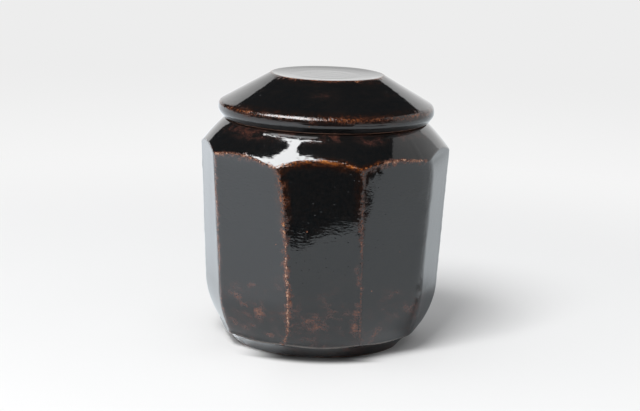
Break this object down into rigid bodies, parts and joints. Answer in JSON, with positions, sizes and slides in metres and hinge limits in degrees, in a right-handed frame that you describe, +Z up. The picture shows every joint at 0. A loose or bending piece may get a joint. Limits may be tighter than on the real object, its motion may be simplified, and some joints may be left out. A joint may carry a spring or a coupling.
{
  "type": "lidded jar",
  "caption": "Faceted stoneware jar with a dark iron glaze and a wide conical lid that lifts off.",
  "frame": {"origin": "middle of the foot, on the surface that the jar stands on", "axes": "+Z up through the middle of the lid, -Y towards the front that the picture shows, +X to its right"},
  "size_m": [0.1162, 0.112, 0.1259],
  "materials": {
    "iron_glaze_jar": "glossy iron-black glaze that breaks rust brown at the edges",
    "iron_glaze_lid": "glossy iron-black glaze that breaks rust brown at the edges"
  },
  "bodies": {
    "jar": {"jar_body": "iron_glaze_jar"},
    "lid": {"lid": "iron_glaze_lid"}
  },
  "joints": [
    {"name": "lid_lift", "type": "slide", "parent": "jar", "child": "lid", "axis": [0, 0, 1], "range_m": [0, 0.05]}
  ]
}
